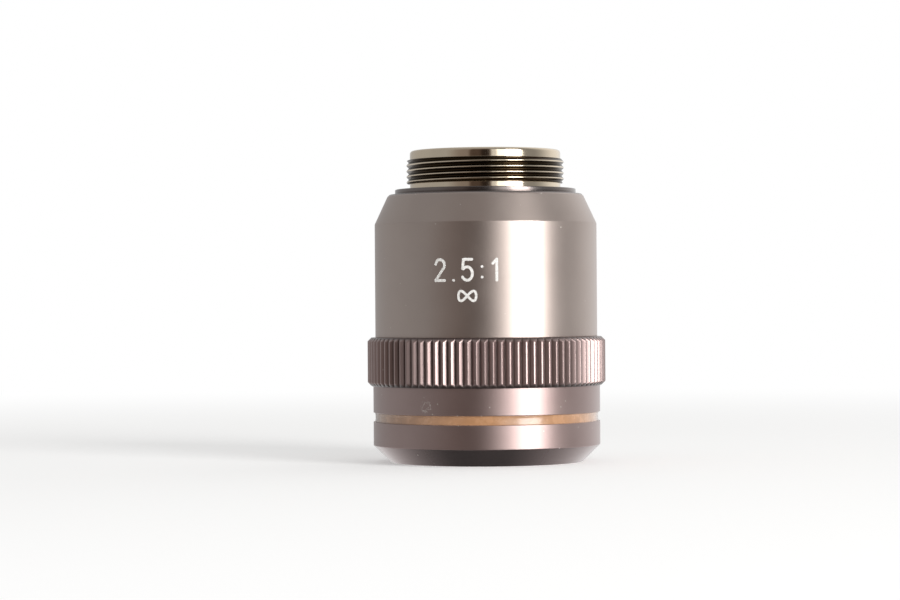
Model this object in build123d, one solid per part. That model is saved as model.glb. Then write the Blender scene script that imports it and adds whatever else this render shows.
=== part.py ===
from build123d import *
import math
import os

# Low-power microscope objective for infinity-corrected stands.
# The optical axis is Z. Height zero is the seating face that meets the nosepiece: the screw thread
# stands above it, the lenses hang below it, and the objective rests on its nose. Sizes are in mm.

# Distances to the specimen, which fix how far the nose lies below the seating face
PARFOCAL_DISTANCE = 45.0
WORKING_DISTANCE = 10.7

# Fits: radial play of turned pieces, the film of cement in a doublet, play at the tube's front end
FIT = 0.02
CEMENT = 0.01
END_PLAY = 0.1

# Screw mount: 4/5 inch thread between a plain pilot collar and a relief
THREAD_DIAMETER = 20.32
MOUNT_HEIGHT = 4.9
PILOT_STEP = 0.66
PILOT_HEIGHT = 1.15
PILOT_CHAMFER = 0.3
PILOT_WALL = 0.9
RELIEF_HEIGHT = 0.68

# Lens tube below the thread, with the shoulder between its two lens stacks
NECK_CLEARANCE = 0.04
NECK_DROP = 0.3
FLANGE_WIDTH = 2.18
FLANGE_THICKNESS = 2.4
TUBE_WALL = 1.4
SHOULDER_DEPTH = 11.0
SHOULDER_THICKNESS = 0.8

# Upper barrel
SEAT_WIDTH = 1.18
SEAT_HEIGHT = 0.64
CROWN_WIDTH = 0.72
CROWN_CHAMFER = 0.26
CONE_LENGTH = 3.47
END_WALL = 3.0
BARREL_WALL = 1.6
SPIGOT_WALL = 0.9
SPIGOT_LENGTH = 4.8
SPIGOT_GAP = 0.2

# Front barrel: knurled grip, groove of the colour band and bevelled nose, with heights above the nose
SKIRT_WALL = 0.98
SKIRT_LENGTH = 9.6
GRIP_STEP = 0.7
GRIP_LENGTH = 6.1
GRIP_CHAMFER = 0.48
TEETH = 90
TOOTH_DEPTH = 0.42
GROOVE_ANGLE = 90.0
BAND_HEIGHT = 5.1
BAND_WIDTH = 1.15
BAND_GROOVE_DEPTH = 0.35
ENAMEL_THICKNESS = 0.15
NOSE_CHAMFER = 2.15
NOSE_WALL = 2.3
NOSE_LIP = 1.0
NOSE_LIP_WIDTH = 0.6

# Rings and cells
SHIM_THICKNESS = 0.2
LOCK_HEIGHT = 2.2
LOCK_GAP = 0.3
RING_HEIGHT = 1.2
SLOT_WIDTH = 1.5
SLOT_DEPTH = 0.5
CELL_WALL = 0.76
SEAT_WALL = 0.8
SPACER_HEIGHT = 1.6
STOP_THICKNESS = 0.3
STOP_OPENING = 8.6
LENS_PROUD = 0.05

# Lenses, front to rear. A radius of curvature is positive where its centre lies towards the thread.
GRINDING = 0.5
FRONT_RIM = 1.2
REAR_RIM = 0.6
FRONT_LENS_THICKNESS = 1.5
FRONT_LENS_CURVE = 12.0
NEGATIVE_FRONT_THICKNESS = 1.3
NEGATIVE_REAR_THICKNESS = 3.4
NEGATIVE_FRONT_CURVE = -20.0
NEGATIVE_CEMENT_CURVE = 18.0
NEGATIVE_REAR_CURVE = 36.0
POSITIVE_FRONT_THICKNESS = 1.4
POSITIVE_REAR_THICKNESS = 4.4
POSITIVE_FRONT_CURVE = -90.0
POSITIVE_CEMENT_CURVE = 26.0
POSITIVE_REAR_CURVE = -22.0
REAR_LENS_THICKNESS = 3.0
REAR_LENS_FRONT_CURVE = 90.0
REAR_LENS_REAR_CURVE = -36.0


def sag(curve, diameter):
    """Height that a spherical face gains from its vertex out to the given diameter."""
    return curve - math.copysign(math.sqrt(curve**2 - (diameter / 2) ** 2), curve)


# Diameters of the lens tube and of what it holds, from the thread inwards
pilot_diameter = THREAD_DIAMETER - 2 * PILOT_STEP
tube_bore = pilot_diameter - 2 * PILOT_WALL
tube_diameter = tube_bore + 2 * TUBE_WALL
cell_diameter = tube_bore - 2 * FIT
pocket = cell_diameter - 2 * CELL_WALL
lens_diameter = pocket - 2 * FIT
front_clear = lens_diameter - 2 * FRONT_RIM
rear_clear = lens_diameter - 2 * REAR_RIM

# Diameters of the barrels, from the thread outwards
neck_diameter = THREAD_DIAMETER + 2 * NECK_CLEARANCE
neck_hole = neck_diameter + 2 * FIT
seat_diameter = neck_hole + 2 * SEAT_WIDTH
crown_diameter = seat_diameter + 2 * CROWN_WIDTH
barrel_bore = neck_hole + 2 * FLANGE_WIDTH
barrel_insert = barrel_bore - 2 * FIT
upper_diameter = barrel_bore + 2 * BARREL_WALL
spigot_diameter = barrel_bore + 2 * SPIGOT_WALL
spigot_hole = spigot_diameter + 2 * FIT
front_diameter = spigot_hole + 2 * SKIRT_WALL
band_floor = front_diameter - 2 * BAND_GROOVE_DEPTH
grip_diameter = front_diameter + 2 * GRIP_STEP
nose_hole = tube_diameter + 2 * FIT
lip_bore = tube_bore - 2 * NOSE_LIP_WIDTH

# Heights of the outer pieces
nose = WORKING_DISTANCE - PARFOCAL_DISTANCE
grip_bottom = nose + SKIRT_LENGTH
grip_top = grip_bottom + GRIP_LENGTH
thread_top = MOUNT_HEIGHT - PILOT_HEIGHT
crown_edge = -SEAT_HEIGHT - CROWN_CHAMFER
spigot_end = grip_top - SPIGOT_LENGTH
spigot_recess = spigot_end - SPIGOT_GAP
band_bottom = nose + BAND_HEIGHT
band_top = band_bottom + BAND_WIDTH
lip_top = nose + NOSE_LIP

# Heights of the lens tube and of what clamps it
shim_bottom = -END_WALL - SHIM_THICKNESS
flange_bottom = shim_bottom - FLANGE_THICKNESS
lock_bottom = flange_bottom - LOCK_HEIGHT
tube_front = lip_top + END_PLAY
shoulder_front = -SHOULDER_DEPTH
shoulder_rear = shoulder_front + SHOULDER_THICKNESS

# Heights of the front stack, from the retaining ring up to the aperture stop
front_cell_front = tube_front + RING_HEIGHT
front_lens_rear = front_cell_front + FRONT_LENS_THICKNESS
front_lens_rim = front_lens_rear + sag(FRONT_LENS_CURVE, front_clear)
negative_rim = front_lens_rim + SEAT_WALL
negative_front = negative_rim - sag(NEGATIVE_FRONT_CURVE, front_clear)
negative_joint = negative_front + NEGATIVE_FRONT_THICKNESS
negative_rear = negative_joint + CEMENT + NEGATIVE_REAR_THICKNESS
negative_rear_rim = negative_rear + sag(NEGATIVE_REAR_CURVE, front_clear)
negative_cell_rear = negative_rear_rim + SEAT_WALL
stop_front = shoulder_front - STOP_THICKNESS

# Heights of the rear stack, from the tube's shoulder up to the rear retaining ring
positive_rim = shoulder_rear + SEAT_WALL
positive_front = positive_rim - sag(POSITIVE_FRONT_CURVE, rear_clear)
positive_joint = positive_front + POSITIVE_FRONT_THICKNESS
positive_rear = positive_joint + CEMENT + POSITIVE_REAR_THICKNESS
spacer_front = positive_rear + sag(POSITIVE_REAR_CURVE, rear_clear)
spacer_rear = spacer_front + SPACER_HEIGHT
rear_seat = spacer_rear + SEAT_WALL
rear_lens_front = rear_seat - sag(REAR_LENS_FRONT_CURVE, rear_clear)
rear_lens_rear = rear_lens_front + REAR_LENS_THICKNESS
ring_seat = rear_lens_rear + sag(REAR_LENS_REAR_CURVE, rear_clear)
ring_top = ring_seat + RING_HEIGHT


def turned(*corners):
    """Solid turned about the optical axis; each corner of its half section is (diameter, height)."""
    section = make_face(Polyline(*[(diameter / 2, height) for diameter, height in corners], close=True))
    return revolve(Plane.XZ * section, Axis.Z)


def ring(outside, inside, bottom, top):
    """Plain ring given by its two diameters and its two heights."""
    return turned((inside, bottom), (outside, bottom), (outside, top), (inside, top))


def slotted(piece, face, side):
    """Ring with two spanner slots across its end face; side is +1 for the upper face and -1 for the lower."""
    slot = Box(grip_diameter, SLOT_WIDTH, SLOT_DEPTH)
    return piece - Pos(0, 0, face - side * SLOT_DEPTH / 2) * slot


def cell(clear, bottom, top, seat, opens):
    """Lens cell: a pocket from the seat to the end where it opens (+1 above, -1 below), a smaller hole beyond."""
    open_end = top if opens > 0 else bottom
    closed_end = bottom if opens > 0 else top
    return turned(
        (pocket, open_end),
        (cell_diameter, open_end),
        (cell_diameter, closed_end),
        (clear, closed_end),
        (clear, seat),
        (pocket, seat),
    )


def grinding_ball(vertex, curve):
    """Sphere that touches the axis at the vertex, its poles turned sideways, clear of the lens face."""
    return Pos(0, 0, vertex + curve) * Rot(90, 0, 0) * Sphere(abs(curve))


def lens(bottom, top, domed=(), hollow=()):
    """Lens ground from a round glass blank; each face is (vertex height, curve).

    A domed face keeps what lies inside its sphere. A hollow face loses it, and keeps a flat rim outside."""
    glass = Pos(0, 0, (bottom + top) / 2) * Cylinder(lens_diameter / 2, top - bottom)
    for vertex, curve in domed:
        glass = glass & grinding_ball(vertex, curve)
    for vertex, curve in hollow:
        glass = glass - grinding_ball(vertex, curve)
    return glass


def make_mount_tube():
    """Brass lens tube: thread on top, flange inside the barrel, inner shoulder between the lens stacks."""
    return turned(
        (tube_bore, MOUNT_HEIGHT),
        (pilot_diameter - 2 * PILOT_CHAMFER, MOUNT_HEIGHT),
        (pilot_diameter, MOUNT_HEIGHT - PILOT_CHAMFER),
        (pilot_diameter, thread_top),
        (THREAD_DIAMETER, thread_top),
        (THREAD_DIAMETER, RELIEF_HEIGHT),
        (pilot_diameter, RELIEF_HEIGHT),
        (pilot_diameter, -NECK_DROP),
        (neck_diameter, -NECK_DROP),
        (neck_diameter, shim_bottom),
        (barrel_insert, shim_bottom),
        (barrel_insert, flange_bottom),
        (tube_diameter, flange_bottom),
        (tube_diameter, tube_front),
        (tube_bore, tube_front),
        (tube_bore, shoulder_front),
        (rear_clear, shoulder_front),
        (rear_clear, shoulder_rear),
        (tube_bore, shoulder_rear),
    )


def make_upper_barrel():
    """Outer barrel: seating ring, bevelled crown, cone, engraved cylinder and the spigot for the front piece."""
    return turned(
        (neck_hole, 0),
        (seat_diameter, 0),
        (seat_diameter, -SEAT_HEIGHT),
        (crown_diameter, -SEAT_HEIGHT),
        (crown_diameter + 2 * CROWN_CHAMFER, crown_edge),
        (upper_diameter, crown_edge - CONE_LENGTH),
        (upper_diameter, grip_top),
        (spigot_diameter, grip_top),
        (spigot_diameter, spigot_end),
        (barrel_bore, spigot_end),
        (barrel_bore, -END_WALL),
        (neck_hole, -END_WALL),
    )


def make_grip():
    """Straight-knurled ring: a many-sided blank with bevelled ends, one V groove cut along each corner."""
    sides = RegularPolygon(grip_diameter / 2, TEETH, major_radius=False)
    blank = extrude(Pos(0, 0, grip_bottom) * sides, GRIP_LENGTH)
    rims = blank.edges().filter_by(Axis.Z, reverse=True)
    blank = chamfer(rims, GRIP_CHAMFER)
    root = grip_diameter / 2 - TOOTH_DEPTH
    mouth = root + 2 * TOOTH_DEPTH
    half_width = 2 * TOOTH_DEPTH * math.tan(math.radians(GROOVE_ANGLE / 2))
    corners = [(root, 0), (mouth, half_width), (mouth, -half_width)]
    groove = extrude(Pos(0, 0, grip_bottom) * make_face(Polyline(*corners, close=True)), GRIP_LENGTH)
    return blank - [Rot(0, 0, 360 * tooth / TEETH) * groove for tooth in range(TEETH)]


def make_front_barrel():
    """Front piece: the turned form with the knurled grip, the colour band's groove and the bevelled nose."""
    body = turned(
        (spigot_hole, grip_top),
        (front_diameter, grip_top),
        (front_diameter, band_top),
        (band_floor, band_top),
        (band_floor, band_bottom),
        (front_diameter, band_bottom),
        (front_diameter, nose + NOSE_CHAMFER),
        (front_diameter - 2 * NOSE_CHAMFER, nose),
        (lip_bore + 2 * NOSE_LIP, nose),
        (lip_bore, lip_top),
        (nose_hole, lip_top),
        (nose_hole, nose + NOSE_WALL),
        (barrel_bore, nose + NOSE_WALL),
        (barrel_bore, spigot_recess),
        (spigot_hole, spigot_recess),
    )
    core = Pos(0, 0, grip_top) * Cylinder((spigot_hole + front_diameter) / 4, 2 * GRIP_LENGTH)
    return body + (make_grip() - core)


def make_front_lens():
    """Diverging front lens, flat towards the specimen."""
    return lens(front_cell_front, front_lens_rim, hollow=[(front_lens_rear, FRONT_LENS_CURVE)])


def make_negative_doublet():
    """The two lenses of the diverging doublet, front one first."""
    outer = (negative_front, NEGATIVE_FRONT_CURVE)
    joint = (negative_joint, NEGATIVE_CEMENT_CURVE)
    front = lens(negative_rim, negative_rear, hollow=[outer, joint])
    joint = (negative_joint + CEMENT, NEGATIVE_CEMENT_CURVE)
    outer = (negative_rear, NEGATIVE_REAR_CURVE)
    rear = lens(negative_joint, negative_rear_rim, domed=[joint], hollow=[outer])
    return front, rear


def make_positive_doublet():
    """The two lenses of the converging doublet, front one first."""
    outer = (positive_front, POSITIVE_FRONT_CURVE)
    joint = (positive_joint, POSITIVE_CEMENT_CURVE)
    front = lens(positive_rim, positive_rear, hollow=[outer, joint])
    joint = (positive_joint + CEMENT, POSITIVE_CEMENT_CURVE)
    outer = (positive_rear, POSITIVE_REAR_CURVE)
    rear = lens(positive_joint, positive_rear + GRINDING, domed=[joint, outer])
    return front, rear


def make_rear_lens():
    """Converging rear lens, from which the light leaves parallel."""
    front = (rear_lens_front, REAR_LENS_FRONT_CURVE)
    rear = (rear_lens_rear, REAR_LENS_REAR_CURVE)
    return lens(rear_lens_front - GRINDING, rear_lens_rear + GRINDING, domed=[front, rear])


negative_doublet_front, negative_doublet_rear = make_negative_doublet()
positive_doublet_front, positive_doublet_rear = make_positive_doublet()
lock_ring = ring(barrel_insert, tube_diameter + 2 * LOCK_GAP, lock_bottom, flange_bottom)
front_ring = ring(cell_diameter, rear_clear, tube_front, front_cell_front)
rear_ring = ring(cell_diameter, rear_clear, ring_seat, ring_top)

pieces = {
    "mount_tube": make_mount_tube(),
    "upper_barrel": make_upper_barrel(),
    "front_barrel": make_front_barrel(),
    "colour_band": ring(band_floor + 2 * ENAMEL_THICKNESS, band_floor, band_bottom, band_top),
    "parfocal_shim": ring(barrel_insert, neck_hole, shim_bottom, -END_WALL),
    "lock_ring": slotted(lock_ring, lock_bottom, -1),
    "front_retaining_ring": slotted(front_ring, tube_front, -1),
    "front_cell": cell(front_clear, front_cell_front, negative_rim, front_lens_rim, -1),
    "front_lens": make_front_lens(),
    "negative_cell": cell(front_clear, negative_rim, negative_cell_rear, negative_rear_rim, -1),
    "negative_doublet_front": negative_doublet_front,
    "negative_doublet_rear": negative_doublet_rear,
    "spacer_tube": ring(cell_diameter, rear_clear, negative_cell_rear, stop_front),
    "aperture_stop": ring(cell_diameter, STOP_OPENING, stop_front, shoulder_front),
    "positive_cell": cell(rear_clear, shoulder_rear, spacer_front - LENS_PROUD, positive_rim, 1),
    "positive_doublet_front": positive_doublet_front,
    "positive_doublet_rear": positive_doublet_rear,
    "rear_spacer": ring(cell_diameter, rear_clear, spacer_front, spacer_rear),
    "rear_cell": cell(rear_clear, spacer_rear, ring_seat - LENS_PROUD, rear_seat, 1),
    "rear_lens": make_rear_lens(),
    "rear_retaining_ring": slotted(rear_ring, ring_top, 1),
}

os.makedirs("parts", exist_ok=True)
for name, piece in pieces.items():
    export_step(piece, f"parts/{name}.step")
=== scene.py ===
import math

import bpy
import numpy as np
from mathutils import Matrix, Vector


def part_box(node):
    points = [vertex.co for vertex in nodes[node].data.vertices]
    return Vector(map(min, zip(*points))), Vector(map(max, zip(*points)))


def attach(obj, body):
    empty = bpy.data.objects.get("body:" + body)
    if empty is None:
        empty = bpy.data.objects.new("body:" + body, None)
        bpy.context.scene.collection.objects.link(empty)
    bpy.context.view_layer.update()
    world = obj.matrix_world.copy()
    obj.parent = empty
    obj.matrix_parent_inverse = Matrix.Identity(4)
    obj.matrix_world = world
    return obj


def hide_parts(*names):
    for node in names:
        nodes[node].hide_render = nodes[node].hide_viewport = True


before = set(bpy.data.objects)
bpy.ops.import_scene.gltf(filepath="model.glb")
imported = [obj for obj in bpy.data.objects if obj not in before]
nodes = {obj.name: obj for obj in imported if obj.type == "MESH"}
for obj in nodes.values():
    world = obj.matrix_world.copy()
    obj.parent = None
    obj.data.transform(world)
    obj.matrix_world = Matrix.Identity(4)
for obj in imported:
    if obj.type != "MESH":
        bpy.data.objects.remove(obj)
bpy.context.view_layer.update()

# Mount tube: the turned brass sleeve that every lens cell slides into. Its rear end has a pilot
# collar and a fine right-hand screw thread for the nosepiece, cut in the lathe. The outside is
# polished and lacquered, and the bore is blackened against stray light.
MM = 0.001
TURN = np.radians(np.arange(360))
TUBE_BORE = 8.6
TUBE_RADIUS = 10.0
TUBE_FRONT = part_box("mount_tube")[0].z / MM
TUBE_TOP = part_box("mount_tube")[1].z / MM
FLANGE_RADIUS = 12.38
FLANGE_TOP = -3.2
FLANGE_BOTTOM = -5.6
NECK_RADIUS = 10.2
NECK_TOP = -0.3
PILOT_RADIUS = 9.5
PILOT_EDGE = 0.4
SHOULDER_RADIUS = 7.2
SHOULDER_REAR = -10.2
SHOULDER_FRONT = -11.0
THREAD_PITCH = 25.4 / 36
THREAD_CREST = 9.94
THREAD_ROOT = 9.67
THREAD_FOOT = 0.68
THREAD_TOP = 3.75
THREAD_LEAD = 0.56
THREAD_FLAT = 0.07
THREAD_ROWS = 120
BRASS_PALE = (0.86, 0.74, 0.58, 1)
BRASS_DEEP = (0.74, 0.63, 0.48, 1)
# Colour of the painted shade in the thread's grooves.
THREAD_SHADE = (0.045, 0.028, 0.014, 1)
BORE_BLACK = (0.012, 0.012, 0.013, 1)
BORE_ROUGHNESS = 0.5
# Gloss of the painted shade in the thread's grooves.
THREAD_SHADE_ROUGHNESS = 0.25


def rounded_section(corners, arc_points=5, support=0.7):
    """Half section whose (radius, height, fillet) corners are rounded off, as one row of points a corner.

    A corner with a fillet becomes an arc, tangent to both sides: the arc's centre lies on the corner's
    bisector, and its points turn evenly from the first contact to the last. One more point on each
    side, a share of the fillet further on, keeps the flats flat. No fillet leaves one sharp point.
    """
    corner = np.array(corners, float)
    sharp = corner[:, 2] == 0
    place, fillet = corner[:, None, :2], np.where(sharp, 1, corner[:, 2])[:, None, None]
    back = np.roll(place, 1, 0) - place
    ahead = np.roll(place, -1, 0) - place
    back /= np.linalg.norm(back, axis=2, keepdims=True)
    ahead /= np.linalg.norm(ahead, axis=2, keepdims=True)
    bisector = back + ahead
    bisector /= np.linalg.norm(bisector, axis=2, keepdims=True)
    half = np.arccos((back * bisector).sum(2, keepdims=True))
    centre = place + bisector * fillet / np.sin(half)
    first = place + back * fillet / np.tan(half)
    last = place + ahead * fillet / np.tan(half)
    sweep = math.pi - 2 * half
    share = np.linspace(0, 1, arc_points)[None, :, None]
    turned = np.sin((1 - share) * sweep) * (first - centre) + np.sin(share * sweep) * (last - centre)
    arc = centre + turned / np.sin(sweep)
    rows = np.concatenate([first + back * support * fillet, arc, last + ahead * support * fillet], 1)
    return [point if plain else row for plain, point, row in zip(sharp, place, rows)]


def around(radius, height, angle):
    """Grid of points in space from radius and height at each angle: cosine, sine and height."""
    radius, height, angle = np.broadcast_arrays(radius, height, angle)
    return np.stack([radius * np.cos(angle), radius * np.sin(angle), height], -1)


def revolved(section, angle=TURN):
    """Half section, as rows of radius and height pairs, turned about the axis to each angle."""
    section = np.concatenate(section)
    return around(section[:, :1], section[:, 1:], angle)


def skin(name, grid):
    """Smooth closed mesh object from a grid of points in millimetres.

    The grid's columns close round the axis and its rows close round the section. Each face joins four
    neighbours in the order turn, section, so that its normal points outwards.
    """
    rows, columns = grid.shape[:2]
    low = np.arange(rows * columns).reshape(rows, columns)
    high = np.roll(low, -1, 0)
    faces = np.stack([low, np.roll(low, -1, 1), np.roll(high, -1, 1), high], -1)
    mesh = bpy.data.meshes.new(name)
    mesh.from_pydata((grid.reshape(-1, 3) * MM).tolist(), [], faces.reshape(-1, 4).tolist())
    mesh.shade_smooth()
    piece = bpy.data.objects.new(name, mesh)
    bpy.context.scene.collection.objects.link(piece)
    return piece


def screw_thread():
    """Rows of the screw thread.

    The distance along the axis to the nearest crest, which climbs one pitch a turn, sets the depth: none
    on the crest's flat, then straight down the flank to the root. Steep bevels at both ends start
    from the root.
    """
    height = np.linspace(THREAD_FOOT, THREAD_TOP, THREAD_ROWS)[1:-1, None]
    turns = (height - THREAD_LEAD) / THREAD_PITCH - TURN / (2 * math.pi)
    from_crest = np.abs(turns - np.round(turns)) * THREAD_PITCH
    flank = (from_crest - THREAD_FLAT / 2) / (THREAD_PITCH / 2 - THREAD_FLAT)
    form = THREAD_CREST - (THREAD_CREST - THREAD_ROOT) * np.clip(flank, 0, 1)
    bevel = THREAD_ROOT + 2 * np.minimum(height - THREAD_FOOT, THREAD_TOP - height)
    return around(np.minimum(form, bevel), height, TURN)


def add(tree, kind, values, **settings):
    """Adds a shader node with its settings; each value is set on its socket, or linked if it is one."""
    made = tree.nodes.new(kind)
    for setting, choice in settings.items():
        setattr(made, setting, choice)
    for socket, value in values.items():
        if isinstance(value, bpy.types.NodeSocket):
            tree.links.new(value, made.inputs[socket])
        else:
            made.inputs[socket].default_value = value
    return made


def math_node(tree, operation, first, second=0.0):
    """One operation on two numbers or sockets."""
    return add(tree, "ShaderNodeMath", {0: first, 1: second}, operation=operation).outputs[0]


def spread(tree, value, low, high, new_low, new_high):
    """Value carried smoothly from one range to another and held at its ends."""
    ends = {"Value": value, 1: low, 2: high, 3: new_low, 4: new_high}
    return add(tree, "ShaderNodeMapRange", ends, interpolation_type="SMOOTHSTEP").outputs[0]


def blend(tree, share, first, second):
    """Colour between two colours, by a share from 0 to 1."""
    mix = add(tree, "ShaderNodeMix", {0: share, 6: first, 7: second}, data_type="RGBA")
    return mix.outputs[2]


def speckle(tree, vector, size, detail=2.0):
    """Noise with features of about that size in millimetres."""
    values = {"Vector": vector, "Scale": 1 / (size * MM), "Detail": detail}
    return add(tree, "ShaderNodeTexNoise", values).outputs["Fac"]


def new_finish(name):
    """Empty node material with its Principled shader and Object coordinates."""
    material = bpy.data.materials.new(name)
    material.use_nodes = True
    tree = material.node_tree
    place = add(tree, "ShaderNodeTexCoord", {}).outputs["Object"]
    return material, tree, tree.nodes["Principled BSDF"], place


def turned_coordinates(tree, place):
    """Distance from the axis, height, and the point of both, which is the same all round a turn."""
    level = add(tree, "ShaderNodeVectorMath", {0: place, 1: (1, 1, 0)}, operation="MULTIPLY").outputs[0]
    radius = add(tree, "ShaderNodeVectorMath", {0: level}, operation="LENGTH").outputs["Value"]
    height = add(tree, "ShaderNodeSeparateXYZ", {0: place}).outputs["Z"]
    return radius, height, add(tree, "ShaderNodeCombineXYZ", {0: radius, 2: height}).outputs[0]


def lacquered_brass():
    """Polished brass with faint turning rings and stains, painted shade in the thread's grooves, a black
    bore.
    """
    material, tree, shader, place = new_finish("lacquered_brass")
    radius, height, section = turned_coordinates(tree, place)
    rings = speckle(tree, section, 0.05)
    cloud = speckle(tree, place, 3.0, 4.0)
    bore = spread(tree, radius, (TUBE_BORE + 0.1) * MM, (TUBE_BORE + 0.2) * MM, 1, 0)
    # Painted shade: the thread's valleys, below the crest flats, take a near-black colour.
    below_crest = spread(tree, radius, (THREAD_CREST - 0.06) * MM, (THREAD_CREST - 0.015) * MM, 1, 0)
    on_thread = spread(tree, height, (THREAD_FOOT - 0.02) * MM, (THREAD_FOOT + 0.02) * MM, 0, 1)
    under_collar = spread(tree, height, (THREAD_TOP - 0.02) * MM, (THREAD_TOP + 0.02) * MM, 1, 0)
    groove = math_node(tree, "MULTIPLY", below_crest, math_node(tree, "MULTIPLY", on_thread, under_collar))
    thread_shaded = blend(tree, groove, blend(tree, cloud, BRASS_DEEP, BRASS_PALE), THREAD_SHADE)
    tree.links.new(blend(tree, bore, thread_shaded, BORE_BLACK), shader.inputs["Base Color"])
    tree.links.new(math_node(tree, "SUBTRACT", 1.0, bore), shader.inputs["Metallic"])
    gloss = spread(tree, rings, 0.2, 0.8, 0.08, 0.14)
    dull_bore = math_node(tree, "MULTIPLY", bore, BORE_ROUGHNESS)
    dull_groove = math_node(tree, "MULTIPLY", groove, THREAD_SHADE_ROUGHNESS)
    dull = math_node(tree, "MAXIMUM", dull_bore, dull_groove)
    tree.links.new(math_node(tree, "MAXIMUM", gloss, dull), shader.inputs["Roughness"])
    bump = add(tree, "ShaderNodeBump", {"Strength": 0.15, "Distance": 0.01 * MM, "Height": rings})
    tree.links.new(bump.outputs[0], shader.inputs["Normal"])
    return material


below_thread = [
    (TUBE_BORE, TUBE_FRONT, 0),
    (TUBE_RADIUS, TUBE_FRONT, 0.1),
    (TUBE_RADIUS, FLANGE_BOTTOM, 0),
    (FLANGE_RADIUS, FLANGE_BOTTOM, 0),
    (FLANGE_RADIUS, FLANGE_TOP, 0),
    (NECK_RADIUS, FLANGE_TOP, 0),
    (NECK_RADIUS, NECK_TOP, 0.05),
    (PILOT_RADIUS, NECK_TOP, 0.05),
    (PILOT_RADIUS, THREAD_FOOT, 0.03),
    (THREAD_ROOT, THREAD_FOOT, 0.02),
]
above_thread = [
    (THREAD_ROOT, THREAD_TOP, 0.02),
    (PILOT_RADIUS, THREAD_TOP, 0.03),
    (PILOT_RADIUS, TUBE_TOP, PILOT_EDGE),
    (TUBE_BORE, TUBE_TOP, 0.06),
    (TUBE_BORE, SHOULDER_REAR, 0),
    (SHOULDER_RADIUS, SHOULDER_REAR, 0),
    (SHOULDER_RADIUS, SHOULDER_FRONT, 0),
    (TUBE_BORE, SHOULDER_FRONT, 0),
]
tube_section = rounded_section(below_thread + above_thread)
tube_below = revolved(tube_section[:len(below_thread)])
tube_above = revolved(tube_section[len(below_thread):])
mount_tube = skin("threaded_mount_tube", np.concatenate([tube_below, screw_thread(), tube_above]))
mount_tube.data.materials.append(lacquered_brass())
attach(mount_tube, "root")
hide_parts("mount_tube")

# Cells, spacers, stop and rings: turned brass with a dull black chemical finish against stray light.
# They stack in the bore of the mount tube, and a threaded ring with spanner slots, which shows, holds
# the stack at each end. The shim on the tube's flange is left bright.
BLACK_PIECES = [
    "lock_ring", "front_retaining_ring", "front_cell", "negative_cell", "spacer_tube", "aperture_stop",
    "positive_cell", "rear_spacer", "rear_cell", "rear_retaining_ring",
]
DULL_BLACK = (0.016, 0.015, 0.014, 1)
WORN_BRASS = (0.16, 0.11, 0.06, 1)


def coat_node(node, material):
    """Puts a finish on a CAD node, which keeps its own mesh."""
    for place in nodes[node].material_slots:
        place.material = material


def blackened_brass():
    """Dull black conversion finish with turning rings, a little brass grinning through on high spots."""
    material, tree, shader, place = new_finish("blackened_brass")
    rings = speckle(tree, turned_coordinates(tree, place)[2], 0.08)
    cloud = speckle(tree, place, 0.6, 5.0)
    worn = spread(tree, cloud, 0.66, 0.78, 0, 0.35)
    tree.links.new(blend(tree, worn, DULL_BLACK, WORN_BRASS), shader.inputs["Base Color"])
    tree.links.new(spread(tree, rings, 0.2, 0.8, 0.42, 0.6), shader.inputs["Roughness"])
    shader.inputs["Metallic"].default_value = 0.5
    bump = add(tree, "ShaderNodeBump", {"Strength": 0.3, "Distance": 0.02 * MM, "Height": rings})
    tree.links.new(bump.outputs[0], shader.inputs["Normal"])
    return material


black = blackened_brass()
for black_piece in BLACK_PIECES:
    coat_node(black_piece, black)
coat_node("parfocal_shim", mount_tube.data.materials[0])

# Lenses: six ground and polished glass elements, two pairs of them cemented. The outer faces have a
# purple-green anti-reflection coating, and a little dust lies on the glass.
LENSES = [
    "front_lens", "negative_doublet_front", "negative_doublet_rear",
    "positive_doublet_front", "positive_doublet_rear", "rear_lens",
]


def coated_glass():
    """Clear crown glass with a thin interference coating and specks of dust that scatter light."""
    material, tree, shader, place = new_finish("coated_glass")
    specks = spread(tree, speckle(tree, place, 0.12, 3.0), 0.70, 0.76, 0.0, 0.5)
    shader.inputs["Base Color"].default_value = (0.97, 0.98, 1.0, 1)
    shader.inputs["Transmission Weight"].default_value = 1.0
    shader.inputs["IOR"].default_value = 1.52
    shader.inputs["Thin Film Thickness"].default_value = 260.0
    shader.inputs["Thin Film IOR"].default_value = 1.38
    tree.links.new(specks, shader.inputs["Roughness"])
    return material


glass = coated_glass()
for lens in LENSES:
    coat_node(lens, glass)

# Upper barrel: the outer shell, turned from brass and plated in a satin grey bronze. A narrow ring
# at the top seats on the nosepiece, a cone widens it to the grip of the hand, and a spigot below
# takes the front barrel.
NECK_HOLE = 10.22
SEAT_RADIUS = 11.4
SEAT_BOTTOM = -0.64
CROWN_RADIUS = 12.12
CROWN_EDGE_RADIUS = 12.38
CROWN_EDGE = -0.90
CONE_FOOT = -4.37
BARREL_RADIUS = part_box("upper_barrel")[1].x / MM
GRIP_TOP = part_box("front_barrel")[1].z / MM
SPIGOT_RADIUS = 13.3
SPIGOT_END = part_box("upper_barrel")[0].z / MM
BARREL_BORE = 12.4
END_WALL = -3.0
SEAT_CUT = -0.78
GREY_SATIN = 0.375
CUT_GLOSS = 0.22
DUST_SPACING = 1.6
CHIP_CORE = 0.35
CHIP_EDGE = 0.65
CHIP_SHOW = 0.8
GREY_PALE = (0.497, 0.417, 0.375, 1)
GREY_DEEP = (0.472, 0.392, 0.353, 1)
GREY_COAT = 0.5
# Seat faced in the lathe: the cut gloss is its finish, and its darker colour is painted shade.
GREY_CUT_SHADED = (0.20, 0.17, 0.16, 1)
# Colour of the painted shade.
SHADE_COLOUR = (0.05, 0.03, 0.025, 1)
BARE_SPOT = (0.72, 0.69, 0.64, 1)
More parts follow.
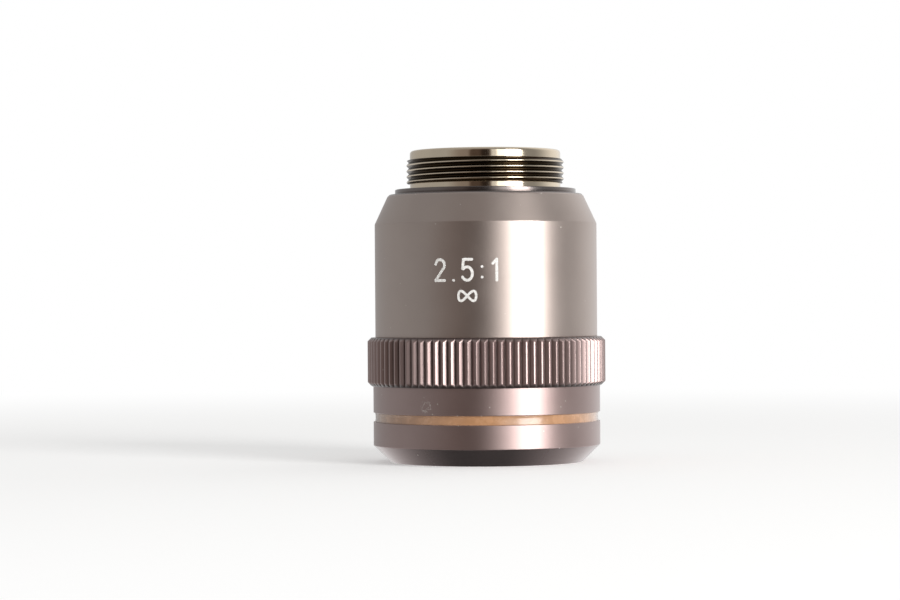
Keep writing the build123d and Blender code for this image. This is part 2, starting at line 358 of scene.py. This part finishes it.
# Strength of the painted shade in the seat ring's corner.
SEAT_CORNER_SHADE = 0.6
# The engraved front lies this many degrees to the right of the -Y axis, close to a groove of the grip.
FRONT_TURN = 1.75
# Each chip: degrees to the right of the front, radius, height and size.
BARREL_CHIPS = [(40.5, BARREL_RADIUS, -5.1, 0.16), (33.0, CROWN_EDGE_RADIUS, CROWN_EDGE, 0.16)]


def dust(tree, place):
    """Specks of dust: a cell pattern in space, seen where a cell's centre lies close to the surface."""
    values = {"Vector": place, "Scale": 1 / (DUST_SPACING * MM)}
    centre = add(tree, "ShaderNodeTexVoronoi", values).outputs["Distance"]
    return spread(tree, centre, 0.03, 0.05, 0.8, 0)


def distance_to(tree, place, angle, radius, height):
    """Distance to a spot on a turned face, given in degrees to the right of the front and millimetres."""
    turn = math.radians(angle + FRONT_TURN)
    spot = np.array([radius * math.sin(turn), -radius * math.cos(turn), height]) * MM
    return add(tree, "ShaderNodeVectorMath", {0: place, 1: spot}, operation="DISTANCE").outputs["Value"]


def chips(tree, place, spots):
    """Small pale chips in the plating, each a spot with its size in millimetres."""
    shown = 0.0
    for *spot, size in spots:
        away = distance_to(tree, place, *spot)
        chip = spread(tree, away, CHIP_CORE * size * MM, CHIP_EDGE * size * MM, CHIP_SHOW, 0)
        shown = math_node(tree, "MAXIMUM", shown, chip)
    return shown


def satin_bronze(name, pale, deep, satin, coat, bright_place, cut_and_shade_colour, painted_shade, wear):
    """Satin plating under clear lacquer: fine grain and faint turning rings over slow clouds of tone.

    The bright place was cut to a gloss of its own; on the upper barrel's seat its darker colour is painted
    shade.
    Painted shade darkens it in corners, grooves and bevels, and dust and the marks of wear lie on it all.
    """
    material, tree, shader, place = new_finish(name)
    radius, height, section = turned_coordinates(tree, place)
    rings = speckle(tree, section, 0.12, 3.0)
    grain = speckle(tree, place, 0.16, 3.0)
    cloud = speckle(tree, place, 4.0, 5.0)
    marks = math_node(tree, "MAXIMUM", dust(tree, place), wear(tree, place))
    bright = bright_place(tree, radius, height)
    clouds = math_node(tree, "MULTIPLY", cloud, 0.7)
    tone = math_node(tree, "ADD", clouds, math_node(tree, "MULTIPLY", grain, 0.3))
    plated = blend(tree, spread(tree, tone, 0.3, 0.7, 0, 1), deep, pale)
    # On the upper barrel's seat the cut colour is painted shade.
    metal = blend(tree, bright, plated, cut_and_shade_colour)
    # Painted shade: darkened where the shade mask is high.
    shaded = blend(tree, painted_shade(tree, radius, height), metal, SHADE_COLOUR)
    tree.links.new(blend(tree, marks, shaded, BARE_SPOT), shader.inputs["Base Color"])
    plain = spread(tree, tone, 0.3, 0.7, satin - 0.012, satin + 0.012)
    gloss = math_node(tree, "SUBTRACT", plain, math_node(tree, "MULTIPLY", bright, satin - CUT_GLOSS))
    tree.links.new(math_node(tree, "MAXIMUM", gloss, marks), shader.inputs["Roughness"])
    tree.links.new(math_node(tree, "SUBTRACT", 1.0, marks), shader.inputs["Metallic"])
    shader.inputs["Coat Weight"].default_value = coat
    shader.inputs["Coat Roughness"].default_value = 0.38
    shader.inputs["Coat IOR"].default_value = 1.6
    relief = math_node(tree, "ADD", math_node(tree, "MULTIPLY", rings, 0.4), grain)
    bump = add(tree, "ShaderNodeBump", {"Strength": 0.12, "Distance": 0.01 * MM, "Height": relief})
    tree.links.new(bump.outputs[0], shader.inputs["Normal"])
    return material


def cut_and_shaded_seat(tree, radius, height):
    """The seat ring and the upper half of the bevel below it, faced in the lathe after plating; their
    darker colour is painted shade.
    """
    return spread(tree, height, (SEAT_CUT - 0.03) * MM, (SEAT_CUT + 0.03) * MM, 0, 1)


def seat_corner_shade(tree, radius, height):
    """Painted shade: a dark line in the corner where the seat ring stands on the crown."""
    from_corner = math_node(tree, "ABSOLUTE", math_node(tree, "SUBTRACT", radius, SEAT_RADIUS * MM))
    near = spread(tree, from_corner, 0.02 * MM, 0.12 * MM, SEAT_CORNER_SHADE, 0)
    return math_node(tree, "MULTIPLY", near, spread(tree, height, -0.5 * MM, -0.3 * MM, 1, 0))


def barrel_wear(tree, place):
    """One chip below the cone and one on the crown."""
    return chips(tree, place, BARREL_CHIPS)


upper_section = rounded_section([
    (NECK_HOLE, 0, 0.05),
    (NECK_HOLE, END_WALL, 0),
    (BARREL_BORE, END_WALL, 0),
    (BARREL_BORE, SPIGOT_END, 0),
    (SPIGOT_RADIUS, SPIGOT_END, 0.1),
    (SPIGOT_RADIUS, GRIP_TOP, 0),
    (BARREL_RADIUS, GRIP_TOP, 0.08),
    (BARREL_RADIUS, CONE_FOOT, 0.25),
    (CROWN_EDGE_RADIUS, CROWN_EDGE, 0.15),
    (CROWN_RADIUS, SEAT_BOTTOM, 0.1),
    (SEAT_RADIUS, SEAT_BOTTOM, 0.06),
    (SEAT_RADIUS, 0, 0.10),
])
upper_barrel = skin("upper_barrel_shell", revolved(upper_section))
upper_barrel.data.materials.append(satin_bronze(
    "grey_bronze", GREY_PALE, GREY_DEEP, GREY_SATIN, GREY_COAT,
    cut_and_shaded_seat, GREY_CUT_SHADED, seat_corner_shade, barrel_wear))
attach(upper_barrel, "root")
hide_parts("upper_barrel")

# Engraved figures: the power as a plain ratio and the sign for an infinite tube length, cut into the
# upper barrel with a round cutter of constant width and filled with white paint that dries a hair
# proud of the plating.
PAINT_PROUD = 0.006
PAINT_DEPTH = 0.05
LINE_POINTS = 9
ARC_POINTS = 25
CAP_POINTS = 5
PAINT_PALE = (0.92, 0.91, 0.88, 1)
PAINT_DEEP = (0.78, 0.76, 0.72, 1)


def line(x0, y0, x1, y1):
    """Straight stroke in a figure's unit box, as points evenly spaced from one end to the other."""
    return np.linspace((x0, y0), (x1, y1), LINE_POINTS)


def arc(x, y, across, up, first, last):
    """Stroke along an ellipse about x, y: across times cosine, up times sine, between two angles."""
    turn = np.radians(np.linspace(first, last, ARC_POINTS))
    return np.stack([x + across * np.cos(turn), y + up * np.sin(turn)], -1)


def lying_eight():
    """Stroke of the sign for infinity: half the cosine across, half the sine of twice the angle up."""
    turn = np.linspace(0, 2 * math.pi, 2 * ARC_POINTS)
    return np.stack([0.5 + 0.5 * np.cos(turn), 0.5 + 0.5 * np.sin(2 * turn)], -1)


FIGURES = {
    "2": [arc(0.5, 0.74, 0.48, 0.26, 170, -30), line(0.92, 0.61, 0.0, 0.0), line(0.0, 0.0, 1.0, 0.0)],
    "5": [line(0.95, 1.0, 0.12, 1.0), line(0.12, 1.0, 0.06, 0.55), arc(0.48, 0.32, 0.52, 0.32, 135, -150)],
    "1": [line(0.25, 0.80, 0.65, 1.0), line(0.65, 1.0, 0.65, 0.0)],
    ".": [line(0.5, 0.0, 0.52, 0.0)],
    ":": [line(0.5, 0.15, 0.52, 0.15), line(0.5, 0.65, 0.52, 0.65)],
    "infinity": [lying_eight()],
}
# Each mark is a figure, its angle from the front in degrees, and the width and height of its box.
POWER_ROW = [
    ("2", -24.2, 1.20, 2.55), (".", -17.0, 0.1, 2.55), ("5", -10.0, 1.25, 2.55), (":", -2.6, 0.1, 2.55),
    ("1", 4.0, 1.20, 2.55),
]
TUBE_ROW = [("infinity", -10.1, 2.20, 1.20)]
POWER_BASE = -11.55
TUBE_BASE = -14.05
POWER_STROKE = 0.34
TUBE_STROKE = 0.30


def painted_stroke(path, stroke):
    """Closed strip along a path on the barrel's unrolled face, with round ends.

    The strip's half width is half the stroke along the path. Past each end it falls off as the cosine
    of an angle while the strip goes on by the sine, which draws a half circle. The four columns are
    the strip's two edges, proud of the barrel and sunk in it, wrapped round by arc length over radius.
    """
    heading = np.gradient(path, axis=0)
    heading /= np.linalg.norm(heading, axis=1, keepdims=True)
    turn = np.radians(np.linspace(85, 0, CAP_POINTS))[:, None]
    start = path[:1] - heading[:1] * np.sin(turn) * stroke / 2
    end = path[-1:] + heading[-1:] * np.sin(turn[::-1]) * stroke / 2
    middle = np.concatenate([start, path[1:-1], end])
    along = np.concatenate([np.repeat(heading[:1], CAP_POINTS, 0), heading[1:-1],
                            np.repeat(heading[-1:], CAP_POINTS, 0)])
    half = np.full((len(middle), 1), stroke / 2)
    half[:CAP_POINTS] *= np.cos(turn)
    half[-CAP_POINTS:] *= np.cos(turn[::-1])
    across = np.stack([-along[:, 1], along[:, 0]], -1) * half
    edges = np.stack([middle - across, middle + across, middle + across, middle - across], 1)
    radius = BARREL_RADIUS + np.array([PAINT_PROUD, PAINT_PROUD, -PAINT_DEPTH, -PAINT_DEPTH])
    return around(radius, edges[:, :, 1], edges[:, :, 0] / BARREL_RADIUS - math.pi / 2)


def strip_faces(rows, start):
    """Faces of a strip of four columns: its sides and its two ends."""
    index = start + np.arange(rows * 4).reshape(rows, 4)
    low, high = index[:-1], index[1:]
    sides = np.stack([low, high, np.roll(high, -1, 1), np.roll(low, -1, 1)], -1).reshape(-1, 4)
    return np.concatenate([sides, index[:1], index[-1:, ::-1]])


def paint_marks(name, rows):
    """One mesh of all strokes: each figure is scaled to its box and centred at its angle."""
    points, faces, start = [], [], 0
    for marks, base, stroke in rows:
        for figure, angle, width, height in marks:
            corner = np.array([math.radians(angle + FRONT_TURN) * BARREL_RADIUS - width / 2, base])
            for path in FIGURES[figure]:
                strip = painted_stroke(corner + path * (width, height), stroke)
                points.append(strip.reshape(-1, 3) * MM)
                faces.append(strip_faces(len(strip), start))
                start += strip.size // 3
    mesh = bpy.data.meshes.new(name)
    mesh.from_pydata(np.concatenate(points).tolist(), [], np.concatenate(faces).tolist())
    piece = bpy.data.objects.new(name, mesh)
    bpy.context.scene.collection.objects.link(piece)
    return piece


def white_fill():
    """Matt white engraving paint, a little uneven and yellowed."""
    material, tree, shader, place = new_finish("white_fill")
    cloud = speckle(tree, place, 0.25, 4.0)
    colour = blend(tree, spread(tree, cloud, 0.35, 0.65, 0, 1), PAINT_DEEP, PAINT_PALE)
    tree.links.new(colour, shader.inputs["Base Color"])
    tree.links.new(spread(tree, cloud, 0.3, 0.7, 0.5, 0.7), shader.inputs["Roughness"])
    bump = add(tree, "ShaderNodeBump", {"Strength": 0.3, "Distance": 0.02 * MM, "Height": cloud})
    tree.links.new(bump.outputs[0], shader.inputs["Normal"])
    return material


figures = paint_marks("engraved_figures", [
    (POWER_ROW, POWER_BASE, POWER_STROKE), (TUBE_ROW, TUBE_BASE, TUBE_STROKE)])
figures.data.materials.append(white_fill())
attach(figures, "root")

# Front barrel: turned from brass in one piece and plated in a redder bronze. Ninety straight V grooves
# make its grip, a groove below takes the colour band, and a wide bevel leads to the nose. It slides
# over the spigot of the upper barrel.
GRIP_BOTTOM = -24.7
GRIP_RADIUS = 15.0
GRIP_CHAMFER = 0.48
TEETH = 90
TOOTH_DEPTH = 0.42
CREST_ROUND = 0.008
TOOTH_COLUMNS = (0, 0.012, 0.2, 0.378, 0.401, 0.424, 0.5, 0.576, 0.599, 0.622, 0.8, 0.988)
BEVEL_ROWS = 13
BEVEL_REACH = 1.4
SKIRT_RADIUS = 14.3
BAND_FLOOR = 13.95
BAND_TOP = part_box("colour_band")[1].z / MM
BAND_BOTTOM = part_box("colour_band")[0].z / MM
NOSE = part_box("front_barrel")[0].z / MM
NOSE_CHAMFER = 2.15
NOSE_WALL = 2.3
NOSE_HOLE = 10.02
LIP_RADIUS = 8.0
LIP_HEIGHT = 1.0
SPIGOT_HOLE = 13.32
SPIGOT_RECESS = -23.6
RED_SATIN = 0.405
RED_PALE = (0.382, 0.275, 0.258, 1)
RED_DEEP = (0.357, 0.252, 0.235, 1)
RED_COAT = 1.0
RED_CUT = (0.33, 0.24, 0.23, 1)
# Painted shade in the grip: its strength at the grooves' root, how far below the crest it fades out, and
# its strength on the lower bevel.
KNURL_GROOVE_SHADE = 0.75
SHADE_BELOW_CREST = 0.16
BEVEL_SHADE = 0.92
# The scuff and the chips: degrees to the right of the front, radius, height, and a chip's size.
SCUFF = (-31.8, SKIRT_RADIUS, -26.98)
SKIRT_CHIPS = [
    (0.7, SKIRT_RADIUS, -27.0, 0.14), (-15.2, SKIRT_RADIUS, BAND_TOP, 0.18), (-39.6, 13.55, -32.9, 0.16),
    (-25.5, SKIRT_RADIUS, -26.6, 0.12), (-3.4, SKIRT_RADIUS, BAND_TOP, 0.13),
    (-14.8, SKIRT_RADIUS, BAND_BOTTOM, 0.15), (41.7, SKIRT_RADIUS, -26.4, 0.13),
    (38.6, SKIRT_RADIUS, -27.1, 0.13), (51.1, SKIRT_RADIUS, -29.7, 0.12),
    (37.6, SKIRT_RADIUS, NOSE + NOSE_CHAMFER, 0.13),
]


def tooth_angles():
    """Angles of the grid's columns: twelve in each tooth, closest at the root and at the crest's edges."""
    return (np.arange(TEETH)[:, None] + TOOTH_COLUMNS).ravel() * 2 * math.pi / TEETH


def cut_nose(tree, radius, height):
    """The bevel of the nose, cut in the lathe after plating."""
    bevel_top = NOSE + NOSE_CHAMFER
    return spread(tree, height, (bevel_top - 0.05) * MM, (bevel_top + 0.05) * MM, 1, 0)


def grip_shade(tree, radius, height):
    """Painted shade towards the root of each groove and on the grip's lower bevel."""
    root = GRIP_RADIUS - TOOTH_DEPTH
    unshaded = GRIP_RADIUS - SHADE_BELOW_CREST
    depth = spread(tree, radius, root * MM, unshaded * MM, KNURL_GROOVE_SHADE, 0)
    bevel = spread(tree, height, (GRIP_BOTTOM + 0.2) * MM, (GRIP_BOTTOM + 0.5) * MM, BEVEL_SHADE, 0)
    on_grip = spread(tree, radius, (SKIRT_RADIUS + 0.04) * MM, (SKIRT_RADIUS + 0.08) * MM, 0, 1)
    return math_node(tree, "MULTIPLY", on_grip, math_node(tree, "MAXIMUM", depth, bevel))


def skirt_wear(tree, place):
    """A scuff of thin curling lines on the skirt, where a noise crosses its mean, and a few chips."""
    noise = speckle(tree, place, 0.6)
    off_mean = math_node(tree, "ABSOLUTE", math_node(tree, "SUBTRACT", noise, 0.5))
    line_of_noise = spread(tree, off_mean, 0.008, 0.02, 0.9, 0)
    patch = spread(tree, distance_to(tree, place, *SCUFF), 0.4 * MM, 1.0 * MM, 1, 0)
    scuff = math_node(tree, "MULTIPLY", line_of_noise, patch)
    return math_node(tree, "MAXIMUM", scuff, chips(tree, place, SKIRT_CHIPS))


def knurl(angle):
    """Rows of the grip: bevelled end, teeth, bevelled end.

    Across a tooth the radius rises at 45 degrees from a sharp root, by as much as the distance from it,
    and a soft minimum ends it at the flat crest. Along the axis the end bevels hold it below a
    45 degree cone.
    """
    share = angle * TEETH / (2 * math.pi) % 1
    gap = np.minimum(share, 1 - share) * 2 * math.pi * GRIP_RADIUS / TEETH
    rise = gap - TOOTH_DEPTH
    tooth = GRIP_RADIUS - CREST_ROUND * np.log(1 + np.exp(-rise / CREST_ROUND))
    end = np.linspace(0, BEVEL_REACH * GRIP_CHAMFER, BEVEL_ROWS)
    height = np.concatenate([GRIP_BOTTOM + end, GRIP_TOP - end[::-1]])[:, None]
    cone = GRIP_RADIUS - GRIP_CHAMFER + np.minimum(height - GRIP_BOTTOM, GRIP_TOP - height)
    return around(np.minimum(tooth, cone), height, angle)


front_section = rounded_section([
    (SPIGOT_HOLE, GRIP_TOP, 0),
    (SPIGOT_HOLE, SPIGOT_RECESS, 0),
    (BARREL_BORE, SPIGOT_RECESS, 0),
    (BARREL_BORE, NOSE + NOSE_WALL, 0),
    (NOSE_HOLE, NOSE + NOSE_WALL, 0),
    (NOSE_HOLE, NOSE + LIP_HEIGHT, 0),
    (LIP_RADIUS, NOSE + LIP_HEIGHT, 0),
    (LIP_RADIUS + LIP_HEIGHT, NOSE, 0.08),
    (SKIRT_RADIUS - NOSE_CHAMFER, NOSE, 0.15),
    (SKIRT_RADIUS, NOSE + NOSE_CHAMFER, 0.12),
    (SKIRT_RADIUS, BAND_BOTTOM, 0.06),
    (BAND_FLOOR, BAND_BOTTOM, 0),
    (BAND_FLOOR, BAND_TOP, 0),
    (SKIRT_RADIUS, BAND_TOP, 0.06),
    (SKIRT_RADIUS, GRIP_BOTTOM, 0.05),
])
grip_angles = tooth_angles()
front_rows = np.concatenate([revolved(front_section, grip_angles), knurl(grip_angles)])
front_barrel = skin("knurled_front_barrel", front_rows)
front_barrel.data.materials.append(satin_bronze(
    "red_bronze", RED_PALE, RED_DEEP, RED_SATIN, RED_COAT,
    cut_nose, RED_CUT, grip_shade, skirt_wear))
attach(front_barrel, "root")
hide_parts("front_barrel")

# Colour band: a ring of tan lacquer run into the groove of the front barrel, which tells the power at
# a glance. It dries with a hollow surface and high edges.
BAND_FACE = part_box("colour_band")[1].x / MM
BAND_HOLLOW = 0.06
BAND_ROWS = 13
TAN_PALE = (0.530, 0.276, 0.132, 1)
TAN_DEEP = (0.430, 0.212, 0.093, 1)


def run_lacquer():
    """Warm tan lacquer under a clear gloss, cloudy in depth."""
    material, tree, shader, place = new_finish("run_lacquer")
    cloud = speckle(tree, place, 1.5, 4.0)
    colour = blend(tree, spread(tree, cloud, 0.3, 0.7, 0, 1), TAN_DEEP, TAN_PALE)
    tree.links.new(colour, shader.inputs["Base Color"])
    tree.links.new(spread(tree, cloud, 0.3, 0.7, 0.22, 0.30), shader.inputs["Roughness"])
    shader.inputs["IOR"].default_value = 1.5
    shader.inputs["Sheen Weight"].default_value = 1.0
    shader.inputs["Sheen Roughness"].default_value = 0.5
    shader.inputs["Coat Weight"].default_value = 1.0
    shader.inputs["Coat Roughness"].default_value = 0.13
    return material


band_height = np.linspace(BAND_BOTTOM, BAND_TOP, BAND_ROWS)
band_share = np.linspace(-1, 1, BAND_ROWS)
band_outside = np.stack([BAND_FACE - BAND_HOLLOW * (1 - band_share**2), band_height], -1)
band_inside = np.array([(BAND_FLOOR, BAND_TOP), (BAND_FLOOR, BAND_BOTTOM)])
colour_band = skin("colour_band_ring", revolved([band_outside, band_inside]))
colour_band.data.materials.append(run_lacquer())
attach(colour_band, "root")
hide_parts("colour_band")

# Studio: a pale floor under the nose, a tall soft box to the right of the camera with fainter ones at
# its edges, and an even room that is darker where the camera stands and below, and bright behind the
# object.
FOCAL_PIXELS = 2810
FRAME_WIDTH = 900
SENSOR_WIDTH = 36
CAMERA_PLACE = (-4.55, -355.0, -13.93)
CAMERA_ROLL = 0.4
# Each soft box: its edges in degrees to the right of the camera, and its glow.
SOFT_BOXES = {
    "key_light": (32.3, 55.4, 8.5),
    "near_wing": (17.0, 32.3, 1.5),
    "far_wing": (9.0, 17.0, 0.4),
    "outer_wing": (55.4, 58.0, 1.6),
}
BOX_DISTANCE = 700
BOX_HEIGHT = 640
BOX_RISE = 130
# The room's glow by direction: where it starts and stops changing, and its value at both. The side is
# to the right, the depth is away from the camera, and the lift is up, as parts of 1.
GLOW_FRONT = (-0.1, 0.6, 0.40, 0.27)
GLOW_BEHIND = (-0.25, 0.8, 0, 1)
GLOW_RIGHT = (-0.5, 0.6, 0.05, 0.69)
GLOW_GROUND = (0.22, 0.95, 1.0, 0.05)
GROUND_DIRECTION = (-0.1, -0.1, -0.99)
GROUND_LIFT = (-0.3, -0.12, 1, 0)
GROUND_DEPTH = (-0.2, 0.0, 0, 1)
# The dark shape round the camera: the same, in degrees to the right of it, and how far it goes up and
# down.
DARK_STEPS = [(-66, -34, 0, 0.38), (-27, -22, 0, 0.42), (-10, -4, 0, 0.14)]
DARK_END = (5, 10, 1, 0)
DARK_LIFT = (0.4, 0.95, 1, 0)
DARK_TINT = (1, 0.64, 0.48, 1)
WHITE = (1, 1, 1, 1)
FLOOR_HALF = 3000
FLOOR_GAP = 0.02
FLOOR_FADE = (60, 300)
FLOOR_LIFT = 0.35
FLOOR_PALE = (0.88, 0.88, 0.87, 1)

camera = bpy.data.objects.new("camera", bpy.data.cameras.new("camera"))
camera.data.sensor_width = SENSOR_WIDTH
camera.data.lens = FOCAL_PIXELS * SENSOR_WIDTH / FRAME_WIDTH
camera.location = Matrix.Rotation(math.radians(FRONT_TURN), 3, "Z") @ Vector(CAMERA_PLACE) * MM
camera.rotation_euler = [math.radians(angle) for angle in (90, CAMERA_ROLL, FRONT_TURN)]
bpy.context.scene.collection.objects.link(camera)
bpy.context.scene.camera = camera

for box_name, (left_edge, right_edge, glow) in SOFT_BOXES.items():
    box = bpy.data.objects.new(box_name, bpy.data.lights.new(box_name, "AREA"))
    turn = math.radians((left_edge + right_edge) / 2 + FRONT_TURN)
    width = 2 * BOX_DISTANCE * math.tan(math.radians(right_edge - left_edge) / 2)
    box.data.shape = "RECTANGLE"
    box.data.size = width * MM
    box.data.size_y = BOX_HEIGHT * MM
    box.data.energy = glow * math.pi * box.data.size * box.data.size_y
    box.location = Vector((math.sin(turn) * BOX_DISTANCE, -math.cos(turn) * BOX_DISTANCE, BOX_RISE)) * MM
    box.rotation_euler = (math.radians(90), 0, turn)
    box.visible_camera = False
    bpy.context.scene.collection.objects.link(box)


def dark_shape(tree, side, depth, lift):
    """Share of the room's glow that is missing round the camera.

    The bearing is the angle to the right of the camera. The shape darkens in steps from the left, ends
    in front, and is held within a band of lift.
    """
    bearing = math_node(tree, "ARCTAN2", side, math_node(tree, "MULTIPLY", depth, -1))
    share = 0.0
    for start, stop, low, high in DARK_STEPS:
        step = spread(tree, bearing, math.radians(start), math.radians(stop), low, high)
        share = math_node(tree, "ADD", share, step)
    start, stop, low, high = DARK_END
    end = spread(tree, bearing, math.radians(start), math.radians(stop), low, high)
    level = spread(tree, math_node(tree, "ABSOLUTE", lift), *DARK_LIFT)
    return math_node(tree, "MULTIPLY", share, math_node(tree, "MULTIPLY", end, level))


def ground_glow(tree, sight):
    """Glow of the ground behind the object, which falls evenly as the sight turns down."""
    values = {0: sight, 1: GROUND_DIRECTION}
    down = add(tree, "ShaderNodeVectorMath", values, operation="DOT_PRODUCT").outputs["Value"]
    start, stop, low, high = GLOW_GROUND
    ends = {"Value": down, 1: start, 2: stop, 3: low, 4: high}
    return add(tree, "ShaderNodeMapRange", ends).outputs[0]


world = bpy.data.worlds.new("studio")
world.use_nodes = True
bpy.context.scene.world = world
tree = world.node_tree
outward = add(tree, "ShaderNodeTexCoord", {}).outputs["Generated"]
turned = {"Vector": outward, "Angle": math.radians(-FRONT_TURN)}
sight = add(tree, "ShaderNodeVectorRotate", turned, rotation_type="Z_AXIS").outputs[0]
side, depth, lift = add(tree, "ShaderNodeSeparateXYZ", {0: sight}).outputs
behind = math_node(tree, "MULTIPLY", spread(tree, depth, *GLOW_BEHIND), spread(tree, side, *GLOW_RIGHT))
room = math_node(tree, "ADD", spread(tree, side, *GLOW_FRONT), behind)
dark = dark_shape(tree, side, depth, lift)
room = math_node(tree, "MULTIPLY", room, math_node(tree, "SUBTRACT", 1.0, dark))
low = math_node(tree, "MULTIPLY", spread(tree, lift, *GROUND_LIFT), spread(tree, depth, *GROUND_DEPTH))
room = add(tree, "ShaderNodeMix", {0: low, 2: room, 3: ground_glow(tree, sight)}).outputs[0]
seen = add(tree, "ShaderNodeLightPath", {}).outputs["Is Camera Ray"]
tint = blend(tree, seen, blend(tree, dark, WHITE, DARK_TINT), WHITE)
tree.links.new(tint, tree.nodes["Background"].inputs["Color"])
tree.links.new(math_node(tree, "MAXIMUM", room, seen), tree.nodes["Background"].inputs["Strength"])

floor_mesh = bpy.data.meshes.new("floor")
floor_corners = np.array([(-1, -1), (1, -1), (1, 1), (-1, 1)]) * FLOOR_HALF
floor_points = np.column_stack([floor_corners, np.full(4, NOSE - FLOOR_GAP)]) * MM
floor_mesh.from_pydata(floor_points, [], [(0, 1, 2, 3)])
floor = bpy.data.objects.new("floor", floor_mesh)
bpy.context.scene.collection.objects.link(floor)
floor_material, tree, shader, place = new_finish("pale_floor")
shader.inputs["Base Color"].default_value = FLOOR_PALE
shader.inputs["Roughness"].default_value = 0.9
shader.inputs["Specular IOR Level"].default_value = 0.0
shader.inputs["Emission Color"].default_value = WHITE
seen = add(tree, "ShaderNodeLightPath", {}).outputs["Is Camera Ray"]
tree.links.new(math_node(tree, "MULTIPLY", seen, FLOOR_LIFT), shader.inputs["Emission Strength"])
near, beyond = FLOOR_FADE
far = spread(tree, turned_coordinates(tree, place)[0], near * MM, beyond * MM, 0, 1)
white = add(tree, "ShaderNodeEmission", {}).outputs[0]
fade = {0: math_node(tree, "MULTIPLY", far, seen), 1: shader.outputs[0], 2: white}
above = add(tree, "ShaderNodeMixShader", fade).outputs[0]
below = add(tree, "ShaderNodeNewGeometry", {}).outputs["Backfacing"]
clear = add(tree, "ShaderNodeBsdfTransparent", {}).outputs[0]
sided = add(tree, "ShaderNodeMixShader", {0: below, 1: above, 2: clear}).outputs[0]
tree.links.new(sided, tree.nodes["Material Output"].inputs["Surface"])
floor.data.materials.append(floor_material)
floor.visible_glossy = False
floor.visible_shadow = False

bpy.context.scene.view_settings.view_transform = "Standard"
